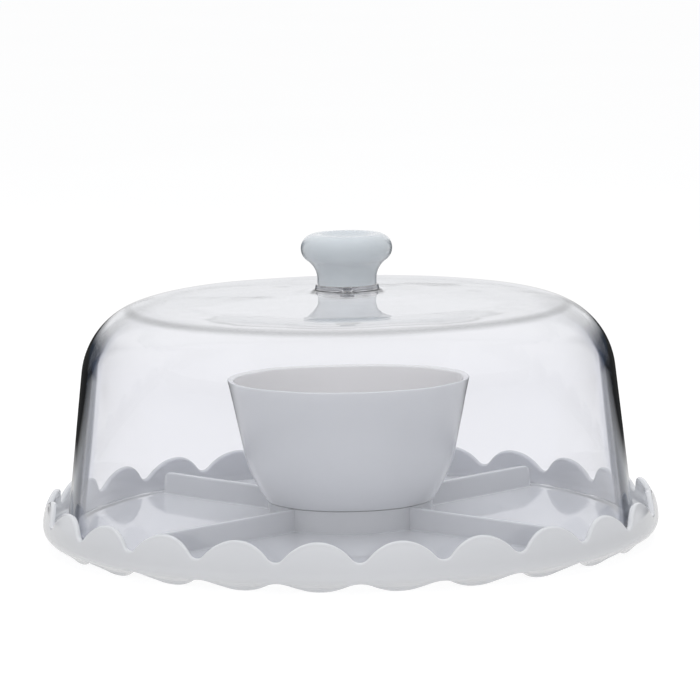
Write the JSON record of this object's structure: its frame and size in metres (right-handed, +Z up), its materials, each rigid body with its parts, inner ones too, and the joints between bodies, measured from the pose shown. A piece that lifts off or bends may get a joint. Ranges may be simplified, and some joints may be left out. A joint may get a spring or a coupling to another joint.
{
  "type": "cake stand dome",
  "caption": "Scalloped round serving tray with moulded compartments, a central dip bowl and a clear lift-off dome with a dished knob.",
  "frame": {"origin": "centre of the tray on the surface it stands on", "axes": "+Z up along the axis of the tray, bowl, dome and knob; -Y towards the viewer of the front; +X to the right"},
  "size_m": [0.33, 0.33, 0.1649],
  "materials": {
    "tray": "glossy opal white melamine",
    "dip_bowl": "glossy opal white melamine",
    "dome": "clear polished acrylic",
    "knob": "glossy white plastic",
    "knob_insert": "turned brass",
    "knob_screw": "stainless steel",
    "screw_washer": "translucent soft silicone"
  },
  "bodies": {
    "tray": {"tray": "tray"},
    "dip_bowl": {"dip_bowl": "dip_bowl"},
    "dome": {"dome": "dome", "knob": "knob", "knob_insert": "knob_insert", "knob_screw": "knob_screw", "screw_washer": "screw_washer"}
  },
  "joints": [
    {"name": "dome_lift", "type": "slide", "parent": "tray", "child": "dome", "axis": [0, 0, 1], "range_m": [0, 0.2]},
    {"name": "bowl_lift", "type": "slide", "parent": "tray", "child": "dip_bowl", "axis": [0, 0, 1], "range_m": [0, 0.03]}
  ]
}
